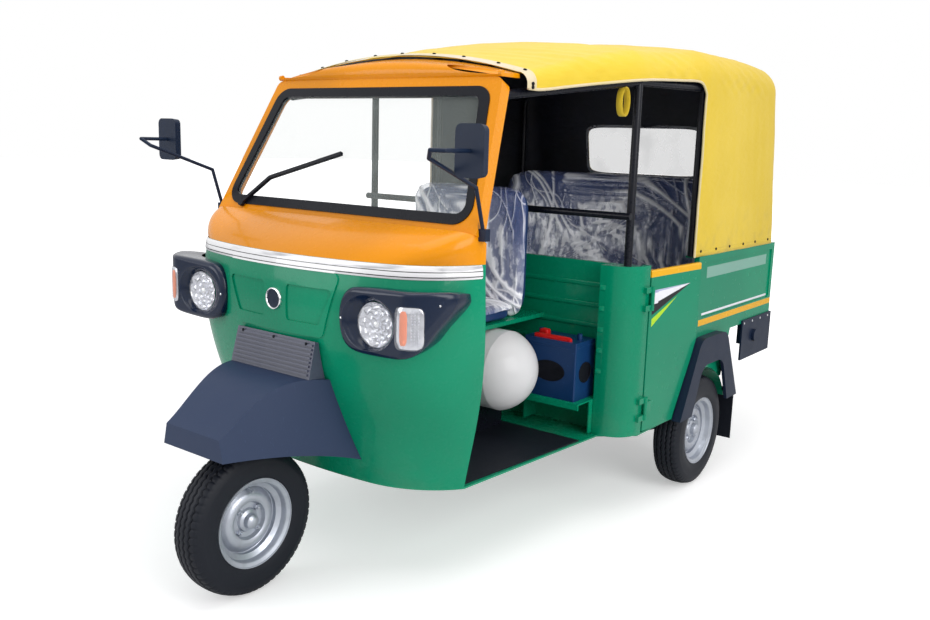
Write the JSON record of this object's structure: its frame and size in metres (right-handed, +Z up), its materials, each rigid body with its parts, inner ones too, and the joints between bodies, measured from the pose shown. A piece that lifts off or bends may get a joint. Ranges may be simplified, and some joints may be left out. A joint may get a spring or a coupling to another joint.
{
  "type": "auto rickshaw",
  "caption": "Three-wheeled passenger auto rickshaw with a two-tone steel cab, canvas hood, half doors and a single steered front wheel.",
  "frame": {"origin": "middle of the vehicle's box on the ground", "axes": "front faces -Y, the vehicle's left is +X, +Z up"},
  "size_m": [1.48, 2.9142, 1.8685],
  "materials": {
    "green_paint": "semi-gloss enamel",
    "orange_paint": "semi-gloss enamel",
    "black_moulding": "glossy moulded plastic",
    "black_steel": "satin black paint",
    "black_rubber": "matte rubber",
    "tyre_rubber": "dusty rubber",
    "silver_paint": "silver wheel paint",
    "canvas": "coated canvas",
    "seat_vinyl": "grained vinyl under clear film",
    "clear_glass": "clear laminated glass",
    "lamp_lens": "fluted clear lens",
    "window_film": "cloudy plastic film",
    "cylinder_paint": "white enamel",
    "battery_case": "moulded plastic",
    "cast_alloy": "as cast",
    "red_lens": "clear red plastic"
  },
  "bodies": {
    "root": {"arch_trims": "black_moulding", "battery": "battery_case", "battery_tray": "green_paint", "bench_backrest": "seat_vinyl", "bench_base": "green_paint", "bench_cushion": "seat_vinyl", "cab_cowl": "orange_paint", "cab_lower_shell": "green_paint", "cab_roof": "orange_paint", "canopy": "canvas", "chassis_frame": "black_steel", "corner_guards": "black_moulding", "cylinder_cradle": "black_steel", "dashboard": "black_moulding", "driver_backrest": "seat_vinyl", "driver_cushion": "seat_vinyl", "driver_seat_frame": "green_paint", "engine_block": "cast_alloy", "fixed_half_panel": "green_paint", "floor_mat": "black_rubber", "floor_pan": "green_paint", "front_mudguard": "black_moulding", "gas_cylinder": "cylinder_paint", "grab_bar": "black_steel", "headlamp_pods": "black_moulding", "headlamps": "lamp_lens", "hood_frame": "black_steel", "mirrors": "black_moulding", "mudflaps": "black_rubber", "nose_cap": "silver_paint", "partition": "green_paint", "rear_suspension": "black_steel", "rear_window": "window_film", "ribbed_plate": "black_moulding", "side_panel_left": "green_paint", "side_panel_right": "green_paint", "steering_head": "green_paint", "tail_lamps": "red_lens", "tail_panel": "green_paint", "windshield_frame": "orange_paint", "windshield_glass": "clear_glass", "windshield_rubber": "black_rubber", "wiper": "black_steel"},
    "steering": {"steering_fork": "black_steel", "front_shock": "black_steel", "handlebar": "black_moulding"},
    "front_wheel": {"front_tyre": "tyre_rubber", "front_rim": "silver_paint"},
    "rear_wheel_left": {"rear_left_tyre": "tyre_rubber", "rear_left_rim": "silver_paint"},
    "rear_wheel_right": {"rear_right_tyre": "tyre_rubber", "rear_right_rim": "silver_paint"},
    "door": {"passenger_door": "green_paint"}
  },
  "joints": [
    {"name": "steer", "type": "hinge", "parent": "root", "child": "steering", "pos_m": [0, -1.21715, 0.24], "axis": [0, 0.4067, 0.9135], "range_deg": [-38, 38]},
    {"name": "front_wheel_spin", "type": "hinge", "parent": "steering", "child": "front_wheel", "pos_m": [0, -1.21715, 0.24], "axis": [1, 0, 0], "continuous": true},
    {"name": "rear_left_spin", "type": "hinge", "parent": "root", "child": "rear_wheel_left", "pos_m": [0.654, 0.66785, 0.24], "axis": [1, 0, 0], "continuous": true},
    {"name": "rear_right_spin", "type": "hinge", "parent": "root", "child": "rear_wheel_right", "pos_m": [-0.654, 0.66785, 0.24], "axis": [1, 0, 0], "continuous": true},
    {"name": "door_swing", "type": "hinge", "parent": "root", "child": "door", "pos_m": [0.7, 0.14585, 0.65], "axis": [0, 0, -1], "range_deg": [0, 72]}
  ]
}
